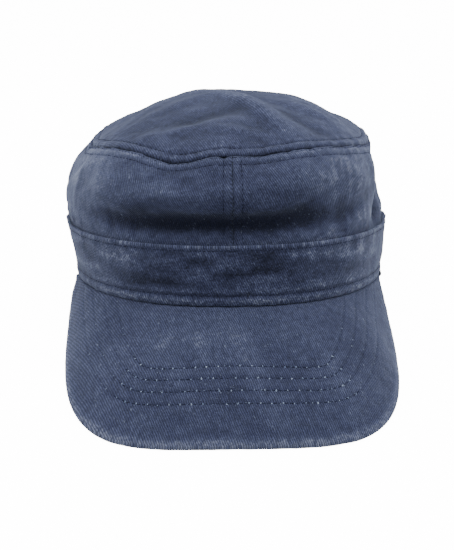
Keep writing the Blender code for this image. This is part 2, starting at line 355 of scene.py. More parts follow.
def clothMesh(name, skin, uv, wearAndShade, wrapU=False, wrapV=True, uvTurn=0.0, ends=0, poles=False):
    # A mesh from a grid of points. ends is the number of outside rows where both ends are capped.
    nu, nv = skin.shape[:2]
    index = np.arange(nu * nv).reshape(nu, nv)
    if wrapU:
        index = np.concatenate([index, index[:1]])
        uv = np.concatenate([uv, uv[:1] + np.array([uvTurn, 0.0])])
    flatUv = uv
    if wrapV:
        index = np.concatenate([index, index[:, :1]], axis=1)
        flatUv = np.concatenate([uv, uv[:, :1]], axis=1)
    faces = cellCorners(index).reshape(-1, 4).tolist()
    faceUv = [cellCorners(flatUv).reshape(-1, 2)]
    corners = skin.reshape(-1, 3)
    wearAndShade = wearAndShade.reshape(-1)
    if ends:
        foot = 2 * ends + rollSteps - 2  # the inside row that lies under the first outside row
        for start, turned in ((0, True), ((nu - 1) * nv, False)):
            caps = [[j, foot - j, foot - j - 1, j + 1] for j in range(ends - 1)]
            caps.append(list(range(ends + rollSteps - 1, ends - 2, -1)))
            caps.append([0] + list(range(nv - 1, foot - 1, -1)))
            for cap in caps:
                cap = [start + j for j in (cap[::-1] if turned else cap)]
                faces.append(cap)
                faceUv.append(uv.reshape(-1, 2)[cap])
    if poles:
        for row, flip in ((0, True), (nv - 1, False)):
            centre = len(corners)
            corners = np.concatenate([corners, corners[index[:-1, row]].mean(0)[None]])
            wearAndShade = np.append(wearAndShade, wearAndShade[index[:-1, row]].mean())
            middleUv = uv[:-1, row].mean(0)
            for k in range(nu):
                fan = [index[k, row], index[k + 1, row], centre]
                fanUv = [uv[k, row], uv[k + 1, row], middleUv]
                faces.append(fan[::-1] if flip else fan)
                faceUv.append(np.array(fanUv[::-1] if flip else fanUv))
    mesh = bpy.data.meshes.new(name)
    mesh.from_pydata(corners.tolist(), [], faces)
    layer = mesh.uv_layers.new(name="UVMap")
    layer.data.foreach_set("uv", np.concatenate(faceUv).reshape(-1).astype(np.float32))
    # The wear attribute holds real wear and dye fade, and also painted shade and painted light from the
    # patch tables.
    attribute = mesh.attributes.new("wearAndShade", "FLOAT", "POINT")
    attribute.data.foreach_set("value", wearAndShade.astype(np.float32))
    mesh.update()
    mesh.shade_smooth()
    piece = bpy.data.objects.new(name, mesh)
    bpy.context.scene.collection.objects.link(piece)
    return piece


# The seam that the walls and the top share.

seamSteps = 192
wallSure, wallMiss = 0.055, 0.082  # heights that surely hit the walls, and surely miss them
seamAngles = np.linspace(-math.pi, math.pi, seamSteps, endpoint=False) + math.pi / seamSteps
seamHeights = np.array([lastHit(lambda h: outerRadius(wallTree, a, h), wallSure, wallMiss)
                        for a in seamAngles])
seamRadii = np.array([outerRadius(wallTree, a, h - 0.1 * mm) for a, h in zip(seamAngles, seamHeights)])
for _ in range(4):
    seamHeights = 0.25 * (np.roll(seamHeights, 1) + 2 * seamHeights + np.roll(seamHeights, -1))
    seamRadii = 0.25 * (np.roll(seamRadii, 1) + 2 * seamRadii + np.roll(seamRadii, -1))


def roundValue(angle, values):
    return np.interp(np.mod(angle + math.pi, 2 * math.pi) - math.pi, seamAngles, values, period=2 * math.pi)


print("stage: seam read, between", (np.array([seamHeights.min(), seamHeights.max()]) / mm).round(1), "mm up")


# Finishes. Shared effects are node groups that put out values only.

def addNode(tree, kind, inputs=None, **settings):
    node = tree.nodes.new(kind)
    for key, value in settings.items():
        setattr(node, key, value)
    for key, value in (inputs or {}).items():
        socket = node.inputs[key]
        if isinstance(value, bpy.types.NodeSocket):
            tree.links.new(value, socket)
        else:
            socket.default_value = value
    return node


def addMath(tree, operation, a, b=0.0, c=0.0):
    return addNode(tree, "ShaderNodeMath", {0: a, 1: b, 2: c}, operation=operation).outputs[0]


def addRange(tree, value, low, high, toLow=0.0, toHigh=1.0):
    given = {"Value": value, "From Min": low, "From Max": high, "To Min": toLow, "To Max": toHigh}
    return addNode(tree, "ShaderNodeMapRange", given, interpolation_type="SMOOTHSTEP").outputs[0]


def addNoise(tree, vector, scale, detail=2.0, roughness=0.5, output="Fac"):
    given = {"Vector": vector, "Scale": scale, "Detail": detail, "Roughness": roughness}
    return addNode(tree, "ShaderNodeTexNoise", given).outputs[output]


def addOffset(tree, vector, scale, reach):
    # A vector moved about by noise.
    noise = addNoise(tree, vector, scale, 1.0, output="Color")
    return addNode(tree, "ShaderNodeVectorMath", {0: noise, "Scale": reach}, operation="SCALE").outputs[0]


def addSum(tree, a, b):
    return addNode(tree, "ShaderNodeVectorMath", {0: a, 1: b}, operation="ADD").outputs[0]


def addTurn(tree, vector, angle):
    given = {"Vector": vector, "Angle": angle}
    return addNode(tree, "ShaderNodeVectorRotate", given, rotation_type="Z_AXIS").outputs[0]


def addMix(tree, factor, a, b):
    return addNode(tree, "ShaderNodeMix", {0: factor, 6: a, 7: b}, data_type="RGBA").outputs[2]


def newGroup(name, inputs, outputs):
    group = bpy.data.node_groups.new(name, "ShaderNodeTree")
    for label, kind, value in inputs:
        socket = group.interface.new_socket(label, in_out="INPUT", socket_type=kind)
        if value is not None:
            socket.default_value = value
    for label in outputs:
        group.interface.new_socket(label, in_out="OUTPUT", socket_type="NodeSocketFloat")
    source = group.nodes.new("NodeGroupInput")
    sink = group.nodes.new("NodeGroupOutput")
    return group, source.outputs, sink.inputs


def makeTwillWeave():
    # Diagonal ribs of the twill, broken up by the crossing yarn and by uneven thread.
    group, given, out = newGroup("twillWeave", [("Vector", "NodeSocketVector", None),
                                                ("Pitch", "NodeSocketFloat", 0.001),
                                                ("Slant", "NodeSocketFloat", 1.1)], ["Rib", "Height"])
    wander = addOffset(group, given["Vector"], 90.0, 0.9 * mm)
    tremble = addOffset(group, given["Vector"], 380.0, 0.7 * mm)
    moved = addSum(group, given["Vector"], addSum(group, wander, tremble))
    parts = addNode(group, "ShaderNodeSeparateXYZ", {0: addTurn(group, moved, given["Slant"])}).outputs
    turns = [addMath(group, "MULTIPLY", parts[axis], 2 * math.pi) for axis in ("Y", "X")]
    across, along = (addMath(group, "DIVIDE", turn, given["Pitch"]) for turn in turns)
    rib = addMath(group, "MULTIPLY_ADD", addMath(group, "SINE", across), 0.5, 0.5)
    crossing = addMath(group, "SINE", addMath(group, "MULTIPLY_ADD", along, 0.8, across))
    yarn = addMath(group, "MULTIPLY_ADD", crossing, 0.5, 0.5)
    thread = addNoise(group, given["Vector"], 1500.0, 1.0)
    thinned = addRange(group, addNoise(group, given["Vector"], 420.0), 0.3, 0.7, 0.45, 1.0)
    group.links.new(addMath(group, "MULTIPLY", rib, thinned), out["Rib"])
    height = addMath(group, "MULTIPLY_ADD", yarn, 0.3, addMath(group, "MULTIPLY", rib, 0.7))
    group.links.new(addMath(group, "MULTIPLY_ADD", thread, 0.45, height), out["Height"])
    return group


def makeWashedAndShadedTone():
    # How washed out the dye is, with painted shade and painted light from the patch tables added in: from 0
    # in the dark hollows to 1 on the bleached ridges.
    group, given, out = newGroup("washedAndShadedTone", [("Vector", "NodeSocketVector", None),
                                                ("WearAndShade", "NodeSocketFloat", 0.0),
                                                ("Level", "NodeSocketFloat", 0.5),
                                                ("Reach", "NodeSocketFloat", 0.25),
                                                ("Mottle", "NodeSocketFloat", 0.3)], ["Tone"])
    broad = addMath(group, "SUBTRACT", addNoise(group, given["Vector"], 38.0, 3.0, 0.6), 0.5)
    fine = addMath(group, "SUBTRACT", addNoise(group, given["Vector"], 260.0, 3.0, 0.65), 0.5)
    grain = addMath(group, "SUBTRACT", addNoise(group, given["Vector"], 850.0, 1.0, 0.6), 0.5)
    speckled = addMath(group, "MULTIPLY_ADD", grain, 1.6, fine)
    mixed = addMath(group, "MULTIPLY_ADD", speckled, 1.05, broad)
    blotch = addMath(group, "MULTIPLY", mixed, given["Mottle"])
    rubbed = addMath(group, "MULTIPLY", given["WearAndShade"], given["Reach"])
    patchy = addRange(group, addNoise(group, given["Vector"], 520.0), 0.3, 0.7, 0.8, 1.15)
    broken = addMath(group, "MULTIPLY", rubbed, patchy)
    total = addMath(group, "ADD", addMath(group, "ADD", broken, blotch), given["Level"])
    group.links.new(total, out["Tone"])
    return group


def makeSlubFlecks():
    # Short pale threads and specks left where the dye has gone, laid along the ribs.
    group, given, out = newGroup("slubFlecks", [("Vector", "NodeSocketVector", None),
                                                ("Slant", "NodeSocketFloat", 1.1),
                                                ("Amount", "NodeSocketFloat", 0.5)], ["Fleck"])
    turned = addTurn(group, given["Vector"], given["Slant"])
    drawn = addNode(group, "ShaderNodeMapping", {"Vector": turned, "Scale": (0.45, 1.0, 1.0)}).outputs[0]
    streak = addRange(group, addNoise(group, drawn, 900.0, 1.0), 0.66, 0.76)
    speck = addRange(group, addNoise(group, given["Vector"], 1300.0, 0.0), 0.74, 0.82)
    both = addMath(group, "MAXIMUM", streak, speck)
    patch = addRange(group, addNoise(group, given["Vector"], 60.0), 0.35, 0.7, 0.25, 1.0)
    amount = addMath(group, "MULTIPLY", patch, given["Amount"])
    group.links.new(addMath(group, "MULTIPLY", both, amount), out["Fleck"])
    return group


twillWeave = makeTwillWeave()
washedAndShadedTone = makeWashedAndShadedTone()
slubFlecks = makeSlubFlecks()
twillSlant = math.radians(65.0)


def makeTwill(name, finish):
    # Washed navy twill. finish holds the dye colours and how strongly the cloth has faded.
    material = bpy.data.materials.new(name)
    material.use_nodes = True
    tree = material.node_tree
    shader = tree.nodes["Principled BSDF"]
    place = addNode(tree, "ShaderNodeUVMap", uv_map="UVMap").outputs["UV"]
    wearAndShade = addNode(tree, "ShaderNodeAttribute", attribute_name="wearAndShade").outputs["Fac"]
    level = {label: finish[label.lower()] for label in ("Level", "Reach", "Mottle")}
    tone = addNode(tree, "ShaderNodeGroup", {"Vector": place, "WearAndShade": wearAndShade, **level}, node_tree=washedAndShadedTone)
    ribs = {"Vector": place, "Pitch": finish["pitch"], "Slant": finish["slant"]}
    weave = addNode(tree, "ShaderNodeGroup", ribs, node_tree=twillWeave)
    specks = {"Vector": place, "Slant": finish["slant"], "Amount": finish["flecks"]}
    flecks = addNode(tree, "ShaderNodeGroup", specks, node_tree=slubFlecks)
    ramp = addNode(tree, "ShaderNodeValToRGB", {"Fac": tone.outputs["Tone"]})
    stops = ramp.color_ramp.elements
    while len(stops) < len(finish["dyeAndPaintedShade"]):
        stops.new(0.5)
    for stop, (where, colour) in zip(stops, finish["dyeAndPaintedShade"]):
        stop.position = where
        stop.color = (*colour, 1.0)
    between = addRange(tree, weave.outputs["Rib"], 0.0, 0.9, finish["ribDepth"], 0.0)
    ribbed = addMix(tree, between, ramp.outputs["Color"], (*finish["gapColour"], 1.0))
    flecked = addMix(tree, flecks.outputs["Fleck"], ribbed, (*finish["fleckColour"], 1.0))
    tree.links.new(flecked, shader.inputs["Base Color"])
    bumps = addNode(tree, "ShaderNodeBump", {"Strength": 0.75, "Distance": finish["relief"],
                                             "Height": weave.outputs["Height"]})
    tree.links.new(bumps.outputs["Normal"], shader.inputs["Normal"])
    shader.inputs["Roughness"].default_value = 0.88
    shader.inputs["Specular IOR Level"].default_value = 0.25
    shader.inputs["Sheen Weight"].default_value = finish["sheen"]
    shader.inputs["Sheen Roughness"].default_value = 0.45
    shader.inputs["Sheen Tint"].default_value = (0.62, 0.72, 1.0, 1.0)
    return material


navyDye = [(0.0, (0.006, 0.009, 0.030)), (0.42, (0.044, 0.053, 0.118)),
           (0.68, (0.084, 0.100, 0.190)), (1.0, (0.25, 0.28, 0.40))]
twillBase = {"dyeAndPaintedShade": navyDye, "level": 0.47, "reach": 0.2, "mottle": 0.3,
             "pitch": 1.0 * mm, "slant": twillSlant, "flecks": 0.3, "fleckColour": (0.22, 0.26, 0.36),
             "gapColour": (0.004, 0.005, 0.010), "ribDepth": 0.62, "relief": 0.22 * mm, "sheen": 0.35}
finishes = {
    "bandTwill": {**twillBase, "mottle": 0.6},
    "wallTwill": {**twillBase, "level": 0.46, "flecks": 0.4},
    "topTwill": {**twillBase, "level": 0.385, "mottle": 0.5},
    "peakTwill": {**twillBase, "level": 0.485, "flecks": 0.45},
}
materials = {name: makeTwill(name, finish) for name, finish in finishes.items()}
print("stage: finishes made")


def finishPiece(piece, material, node):
    piece.data.materials.append(materials[material])
    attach(piece, "root")
    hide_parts(node)
    print("stage:", piece.name, len(piece.data.polygons), "faces")


def onFloor(skin):
    # Pressed flat where it rests.
    out = skin.copy()
    out[..., 2] = np.maximum(out[..., 2], 0.0)
    return out


def softPatch(across, up, length, breadth, turn):
    # 1 at its middle and fading outwards, longer one way than the other, turned by some degrees.
    c, s = math.cos(math.radians(turn)), math.sin(math.radians(turn))
    along = (across * c + up * s) / length
    aside = (up * c - across * s) / breadth
    return np.exp(-along ** 2 - aside ** 2)


def evenAngles(count):
    return 2 * math.pi * np.arange(count) / count


def flatPatches(x, y, table):
    # Sum of soft patches seen from above, in mm.
    x, y = x / mm, y / mm
    return sum(amount * softPatch(x - placeX, y - placeY, length, breadth, turn)
               for placeX, placeY, length, breadth, turn, amount in table)


def roundPatches(angle, height, table):
    # Sum of soft patches round the side of the cap, in mm.
    total = 0.0
    for placeAngle, placeHeight, length, breadth, turn, amount in table:
        away = np.remainder(angle - math.radians(placeAngle) + math.pi, 2 * math.pi) - math.pi
        across = away * meanRadius / mm
        total = total + amount * softPatch(across, height / mm - placeHeight, length, breadth, turn)
    return total


# The band: doubled cloth, turned over at the top, with a puffed edge over the peak seam.

bandCloth = {
    "columns": 180, "rows": 11, "finer": 4, "thickness": 1.8 * mm,
    # angle, height, length, breadth, turn, amount: darker or paler patches, in degrees and mm; partly dye,
    # partly painted shade across the front where the wall's brow shades the band, and painted light on the
    # sides
    "dyeAndPaintedShade": [
        (-24.0, 11.0, 24.0, 3.2, -5.0, -1.5), (0.0, 14.5, 26.0, 2.4, 7.0, -1.5),
        (-10.0, 22.0, 30.0, 3.0, -3.0, -0.6), (-34.0, 20.0, 18.0, 3.6, 8.0, 0.8),
        (14.0, 21.0, 22.0, 3.0, -6.0, -1.0), (-6.0, 17.5, 22.0, 2.2, 3.0, 0.7),
        (8.0, 8.5, 26.0, 3.0, 3.0, -0.9), (-10.0, 6.5, 24.0, 2.0, 0.0, 0.5),
        (24.0, 12.0, 16.0, 3.0, -8.0, -0.5), (44.0, 14.0, 22.0, 12.0, 0.0, 0.7),
        (-56.0, 14.0, 18.0, 12.0, 0.0, 0.45), (62.0, 20.0, 20.0, 10.0, 0.0, 0.6),
    ],
    # the same, for where pale upright streaks show
    "streaks": [(48.0, 24.0, 28.0, 7.0, 0.0, 1.7), (-62.0, 24.0, 16.0, 8.0, 0.0, 1.0),
                (20.0, 25.0, 14.0, 4.0, 0.0, 0.6), (170.0, 22.0, 70.0, 8.0, 0.0, 0.8)],
    "puffHeight": 2.0 * mm, "puff": 0.55 * mm,
    "lumps": 0.5 * mm, "topPucker": 0.30 * mm, "rimPucker": 0.22 * mm,
    "lowerRow": 4.4 * mm, "lowerRowDepth": 0.42 * mm, "upperRow": 1.5 * mm, "upperRowDepth": 0.25 * mm,
    "blotches": 0.85, "deepest": -0.4 * mm,
}


def makeBand(spec):
    angles = evenAngles(spec["columns"]) - math.pi
    half = 0.5 * spec["thickness"]
    lows = np.array([lastHit(lambda h: outerRadius(bandTree, a, h), 0.012, -0.004) for a in angles])
    tops = np.array([lastHit(lambda h: outerRadius(bandTree, a, h), 0.022, 0.034) for a in angles])
    part = np.linspace(0.0, 1.0, spec["rows"])
    heights = (lows + half - 0.22 * mm)[:, None] * (1 - part) + (tops - half)[:, None] * part
    radii = np.array([[outerRadius(bandTree, a, h) for h in row] for a, row in zip(angles, heights)])
    base = smoothGrid(capPoint(angles[:, None], radii, heights), 3, wrap=True)
    grid = refineGrid(base, spec["finer"], spec["finer"], wrap=True)
    normals = gridNormals(grid, wrap=True)
    angle, _, height = capCoords(grid)
    up = runLength(grid, 1)
    down = up[:, -1:] - up
    scallop = softNoise(grid, 3.6 * mm, 11)
    push = spec["puff"] * bump(up - spec["puffHeight"], 1.7 * mm) * (1.0 + 0.45 * scallop)
    push -= spec["lowerRowDepth"] * bump(up - spec["lowerRow"], 0.9 * mm)
    push -= spec["upperRowDepth"] * bump(down - spec["upperRow"], 0.7 * mm)
    push += 0.15 * mm * bump(down, 0.8 * mm)
    loose = ease(up, 5.0 * mm, 10.0 * mm) * ease(down, 2.0 * mm, 7.0 * mm)
    level = grid * np.array([0.45, 0.45, 1.0])  # drawn out round the cap
    push += spec["lumps"] * loose * softNoise(level, 7.0 * mm, 12)
    push += 0.14 * mm * softNoise(grid, 5.0 * mm, 13)
    push += spec["topPucker"] * np.exp(-down / (5.0 * mm)) * puckers(angle, height, 7.5 * mm, 14)
    push += spec["rimPucker"] * np.exp(-up / (6.0 * mm)) * puckers(angle, height, 6.5 * mm, 15)
    outer = grid + np.maximum(push, spec["deepest"])[..., None] * normals
    normals = gridNormals(outer, wrap=True)
    edge = 0.8 * bump(down, 0.9 * mm) - 0.5 * bump(down - 2.6 * mm, 1.3 * mm)
    edge += 0.35 * bump(up - 2.0 * mm, 1.2 * mm) - 0.7 * bump(up - 5.0 * mm, 0.8 * mm)
    wearAndShade = wearOf(outer, normals, wrap=True, extra=edge)
    middle = ease(up, 4.0 * mm, 7.0 * mm) * ease(down, 1.0 * mm, 4.0 * mm)
    # Painted shade and painted light from the patch table, with dye blotches in the middle.
    wearAndShade += roundPatches(angle, up, spec["dyeAndPaintedShade"]) + spec["blotches"] * middle * levelBlotches(grid, up, 17)
    streaks = 0.2 + puckers(angle, 0.4 * up, 4.6 * mm, 16)
    wearAndShade += roundPatches(angle, up, spec["streaks"]) * streaks
    skin = onFloor(rolledSkin(outer, normals, spec["thickness"]))
    along = roundLength * np.arange(len(grid))[:, None] / len(grid)
    uv = np.stack([np.broadcast_to(along, up.shape), up], axis=-1)
    uv, wearAndShade = rolledValues(uv), rolledValues(wearAndShade)
    piece = clothMesh("bandCloth", skin, uv, wearAndShade, wrapU=True, uvTurn=roundLength)
    finishPiece(piece, "bandTwill", "band")
    return piece, outer, normals, up


bandPiece, bandOuter, bandNormals, bandUp = makeBand(bandCloth)


# The two side walls, sewn at the front and the back, tucked into the band and sewn to the top.

wallCloth = {
    "columns": 192, "rows": 19, "finer": 4, "thickness": 1.1 * mm, "low": 22.6 * mm, "bandTop": 29.8 * mm,
    "seamDepth": 0.8 * mm, "rowFromSeam": 4.8 * mm, "rowDepth": 0.32 * mm, "rowFromFront": 4.3 * mm,
    "lumps": 0.6 * mm, "seamPucker": 0.48 * mm, "bandPucker": 0.55 * mm, "blotches": 0.45,
    "columnWidth": 0.75 * mm,
    # angle, height, length, breadth, turn, push: smaller folds than the frame's, in degrees and mm
    "folds": [
        (-62.0, 58.0, 20.0, 4.0, 28.0, 1.0), (-48.0, 50.0, 24.0, 4.5, -24.0, -0.9),
        (-36.0, 61.0, 18.0, 3.8, 12.0, 0.8), (-20.0, 57.0, 22.0, 4.2, -6.0, -0.6),
        (-70.0, 44.0, 16.0, 4.0, -30.0, 0.9), (16.0, 60.0, 22.0, 4.5, 10.0, 0.7),
        (28.0, 52.0, 22.0, 4.0, 24.0, -0.9), (44.0, 60.0, 15.0, 4.0, -35.0, 0.8),
        (40.0, 42.0, 18.0, 4.0, 18.0, -0.8), (8.0, 46.0, 26.0, 4.0, 3.0, 0.8),
        (-30.0, 44.0, 26.0, 4.0, -3.0, 0.7), (96.0, 58.0, 20.0, 4.5, 60.0, -1.0),
        (112.0, 52.0, 18.0, 4.5, -50.0, 1.0), (130.0, 60.0, 22.0, 4.5, 20.0, 0.9),
        (160.0, 54.0, 24.0, 4.5, -15.0, -1.0), (-160.0, 58.0, 22.0, 4.5, 18.0, 0.9),
        (-128.0, 56.0, 20.0, 4.5, -28.0, 1.0), (-110.0, 46.0, 18.0, 4.5, 40.0, -1.0),
        (-8.0, 40.0, 50.0, 5.5, 0.0, -1.6), (-12.0, 52.0, 46.0, 6.0, 2.0, 1.0),
        (58.0, 50.0, 22.0, 3.0, 94.0, 1.2), (-84.0, 43.0, 10.0, 4.0, 86.0, -2.0),
    ],
    # angle, height, length, breadth, turn, amount: where pale upright streaks show
    "streaks": [
        (-62.0, 62.0, 16.0, 14.0, 0.0, 1.2), (-68.0, 40.0, 14.0, 9.0, 0.0, 0.9),
        (44.0, 54.0, 20.0, 20.0, 0.0, 1.1), (48.0, 36.0, 20.0, 7.0, 0.0, 1.3),
        (120.0, 60.0, 30.0, 12.0, 0.0, 0.5), (-120.0, 60.0, 30.0, 12.0, 0.0, 0.5),
        (178.0, 36.0, 40.0, 7.0, 0.0, 0.5),
    ],
    # angle, height, length, breadth, turn, amount: darker or paler patches; partly dye, partly painted shade
    # in the front hollow above the band and the recess behind the right fold, and painted light on the sides
    # and on that fold's ridge
    "dyeAndPaintedShade": [
        (-8.0, 45.0, 46.0, 10.0, 0.0, -0.9), (0.0, 56.0, 50.0, 14.0, 0.0, -0.3),
        (-14.0, 40.5, 36.0, 6.5, 0.0, -1.5), (18.0, 42.0, 20.0, 5.0, 4.0, -0.9),
        (-30.0, 46.0, 16.0, 6.0, 12.0, -0.8), (12.0, 45.0, 18.0, 5.0, 0.0, -0.6),
        (0.0, 63.0, 44.0, 7.0, 0.0, -0.35), (-64.0, 56.0, 15.0, 13.0, 90.0, 0.6),
        (-50.0, 52.0, 14.0, 8.0, 70.0, 0.3), (42.0, 55.0, 19.0, 16.0, 90.0, 0.55),
        (58.0, 50.0, 22.0, 2.6, 94.0, 0.8), (68.0, 38.0, 13.0, 8.0, 90.0, -1.2),
        (-14.0, 53.0, 34.0, 5.0, 3.0, 0.35), (30.0, 40.0, 26.0, 4.0, 10.0, -0.5),
    ],
}


def seamRelief(spec, fromSeam):
    # Pulled down into the top seam and along the row beside it, with a soft swell between.
    return (0.15 * mm * bump(fromSeam - 2.5 * mm, 1.4 * mm) - spec["seamDepth"] * bump(fromSeam, 0.95 * mm)
            - spec["rowDepth"] * bump(fromSeam - spec["rowFromSeam"], 0.8 * mm))


def seamWear(spec, fromSeam):
    # Paler on the swell, and dark in the seam and along the row.
    return (0.12 * bump(fromSeam - 2.0 * mm, 1.4 * mm) - 1.6 * bump(fromSeam, 1.0 * mm)
            - 0.5 * bump(fromSeam - spec["rowFromSeam"], 0.6 * mm))


def readWalls(spec):
    angles = evenAngles(spec["columns"])
    tops = roundValue(angles, seamHeights) - 0.1 * mm
    part = np.linspace(0.0, 1.0, spec["rows"])
    heights = spec["low"] * (1 - part)[None] + tops[:, None] * part
    aside = 0.004  # each side of a ray's own angle, so that none slips through a seam's gap
    radii = np.array([[0.5 * (nearRadius(wallTree, a - aside, h) + nearRadius(wallTree, a + aside, h))
                       for h in row] for a, row in zip(angles, heights)])
    return smoothGrid(capPoint(angles[:, None], radii, heights), 3, wrap=True)


def shapeWalls(spec):
    grid = refineGrid(readWalls(spec), spec["finer"], spec["finer"], wrap=True)
    normals = gridNormals(grid, wrap=True)
    angle, _, height = capCoords(grid)
    up = runLength(grid, 1)
    toSeam = up[:, -1:] - up
    aboveBand = height - spec["bandTop"]
    fromFront = np.abs(angle) * meanRadius
    fromBack = (math.pi - np.abs(angle)) * meanRadius
    loose = ease(aboveBand, 1.0 * mm, 9.0 * mm) * ease(toSeam, 3.0 * mm, 11.0 * mm)
    shown = ease(aboveBand, 0.5 * mm, 3.0 * mm)
    push = mm * loose * roundPatches(angle, height, spec["folds"])
    push += spec["lumps"] * loose * softNoise(grid, 17.0 * mm, 21)
    push += 0.2 * mm * ease(toSeam, 1.0 * mm, 6.0 * mm) * shown * softNoise(grid, 7.5 * mm, 22)
    push += 0.10 * mm * shown * softNoise(grid, 3.4 * mm, 23)
    nearSeam = shown * np.exp(-toSeam / (7.5 * mm))
    nearBand = shown * np.exp(-aboveBand.clip(0.0) / (7.0 * mm))
    push += spec["seamPucker"] * nearSeam * puckers(angle, toSeam, 7.5 * mm, 24)
    push += spec["bandPucker"] * nearBand * puckers(angle, height, 7.0 * mm, 25)
    push += seamRelief(spec, toSeam)
    pulled = shown * ease(height, 36.0 * mm, 50.0 * mm)
    for away in (fromFront, fromBack):
        push += pulled * (-0.26 * mm * bump(away, 0.6 * mm) + 0.08 * mm * bump(away - 2.3 * mm, 1.2 * mm)
                          - 0.14 * mm * bump(away - spec["rowFromFront"], 0.6 * mm))
    outer = grid + push[..., None] * normals
    normals = gridNormals(outer, wrap=True)
    # Painted shade and painted light from the patch table, with dye blotches and worn streaks.
    wearAndShade = roundPatches(angle, height, spec["dyeAndPaintedShade"]) + spec["blotches"] * levelBlotches(grid, height, 27)
    streaks = 0.25 + puckers(angle, 0.4 * height, 5.0 * mm, 26)
    wearAndShade += roundPatches(angle, height, spec["streaks"]) * streaks
    frontEdge = 0.1 * bump(fromFront - 2.0 * mm, 1.2 * mm) - 0.45 * bump(fromFront, 0.6 * mm)
    wearAndShade += wearOf(outer, normals, wrap=True, extra=seamWear(spec, toSeam) + frontEdge * shown)
    return outer, normals, wearAndShade, toSeam


def lapUnder(ring, columns, lap):
    # A strip of cloth past each upright seam, which lies under the other wall.
    outer, normals, wearAndShade, _ = ring
    count = len(outer)
    before = [(columns[0] - k) % count for k in range(lap, 0, -1)]
    after = [(columns[-1] + k) % count for k in range(1, lap + 1)]
    under = 1.25 * wallCloth["thickness"]
    main = outer[columns].copy()
    reach = 0.85  # of the way to the other wall's first column
    main[0] += reach * (outer[before[-1]] - main[0])
    main[-1] += reach * (outer[after[0]] - main[-1])
    parts = [outer[before] - under * normals[before], main, outer[after] - under * normals[after]]
    kept = before + list(columns) + after
    return np.concatenate(parts), normals[kept], wearAndShade[kept]


def lapOver(outer, normals, wearAndShade):
    # Two rows of cloth past the top seam, which lie under the top panel. They are set dark, a painted shade
    # for lying under the top panel.
    angle = capCoords(outer[:, -1])[0]
    inward = -(capPoint(angle, np.ones_like(angle), np.zeros_like(angle)) - rimCentre)
    first = outer[:, -1] + 1.5 * mm * inward
    second = outer[:, -1] + 3.0 * mm * inward + 0.8 * mm * rimUp
    facing = unit(0.8 * rimUp - 0.6 * inward)
    return (np.concatenate([outer, first[:, None], second[:, None]], 1),
            np.concatenate([normals, facing[:, None], facing[:, None]], 1),
            # painted shade on the two tucked rows
            np.concatenate([wearAndShade, np.full_like(wearAndShade[:, :2], -1.2)], 1))


def makeWall(name, node, columns, ring, lap=0):
    if lap:
        outer, normals, wearAndShade = lapUnder(ring, columns, lap)
    else:
        outer, normals, wearAndShade = (values[columns].copy() for values in ring[:3])
        for end, beside in ((0, 1), (-1, -2)):
            outer[end] += 0.12 * mm * unit(outer[beside] - outer[end])
    outer, normals, wearAndShade = lapOver(outer, normals, wearAndShade)
    skin = onFloor(rolledSkin(outer, normals, wallCloth["thickness"]))
    up = runLength(outer, 1)
    along = np.broadcast_to(wallCloth["columnWidth"] * np.arange(len(outer))[:, None], up.shape)
    uv = np.stack([along, up], axis=-1)
    piece = clothMesh(name, skin, rolledValues(uv), rolledValues(wearAndShade), ends=outer.shape[1])
    finishPiece(piece, "wallTwill", node)
    return piece, outer


wallRing = shapeWalls(wallCloth)
wallCount = len(wallRing[0])
rightColumns = np.arange(0, wallCount // 2 + 1)
leftColumns = np.arange(wallCount // 2 + 1, wallCount)
wallRight, wallRightOuter = makeWall("wallRightCloth", "wall_right", rightColumns, wallRing)
wallLeft, wallLeftOuter = makeWall("wallLeftCloth", "wall_left", leftColumns, wallRing, lap=3)


# The top panel.

topCloth = {
    "columns": 140, "finer": 4, "thickness": 1.1 * mm, "seamDepth": 0.75 * mm, "rowFromSeam": 4.8 * mm,
    "rowDepth": 0.32 * mm, "lumps": 0.5 * mm, "seamPucker": 0.45 * mm,
    "rings": [1.0, 0.975, 0.95, 0.925, 0.895, 0.86, 0.82, 0.775, 0.725, 0.67, 0.61, 0.545, 0.475, 0.40,
              0.32, 0.235, 0.145, 0.05],
    # x, y, length, breadth, turn, rise: seen from above the rim, in mm and degrees
    "folds": [
        (12.0, -44.0, 26.0, 3.6, -62.0, 1.3), (22.0, -24.0, 24.0, 4.0, -40.0, -1.0),
        (44.0, -32.0, 22.0, 3.6, -48.0, 1.2), (-26.0, -22.0, 30.0, 5.0, 35.0, 1.0),
        (-20.0, -58.0, 24.0, 4.5, 5.0, 0.9), (-48.0, -20.0, 22.0, 4.5, 60.0, 0.9),
        (0.0, -66.0, 20.0, 3.6, -20.0, 0.8), (36.0, 20.0, 28.0, 5.0, 20.0, 1.2),
        (-10.0, 34.0, 30.0, 5.0, -15.0, 1.2), (-40.0, 30.0, 24.0, 5.0, -50.0, -1.2),
        (20.0, 56.0, 26.0, 5.0, 12.0, -1.1), (56.0, 6.0, 22.0, 5.0, 80.0, -1.0),
        (10.0, -34.0, 34.0, 5.0, -60.0, 1.6), (-14.0, -48.0, 26.0, 8.0, 15.0, -1.6),
        (34.0, -50.0, 22.0, 5.0, -50.0, -1.4), (52.0, -28.0, 24.0, 5.0, -52.0, 1.4),
    ],
    # x, y, length, breadth, turn, amount: darker or paler patches; partly dye, partly painted shade in the
    # fold hollows and painted light along the fold ridges
    "dyeAndPaintedShade": [
        (-14.0, -50.0, 30.0, 10.0, 10.0, -0.8), (10.0, -64.0, 34.0, 6.0, 0.0, -0.5),
        (-46.0, -40.0, 24.0, 14.0, 40.0, -0.35), (-34.0, -30.0, 30.0, 20.0, 40.0, -0.3),
        (8.0, -30.0, 32.0, 4.0, -60.0, 0.6), (50.0, -26.0, 24.0, 5.0, -50.0, 0.7),
        (32.0, -46.0, 22.0, 6.0, -55.0, -0.6), (60.0, 0.0, 34.0, 12.0, 80.0, 0.5),
        (-20.0, 6.0, 26.0, 8.0, 20.0, 0.3),
    ],
}


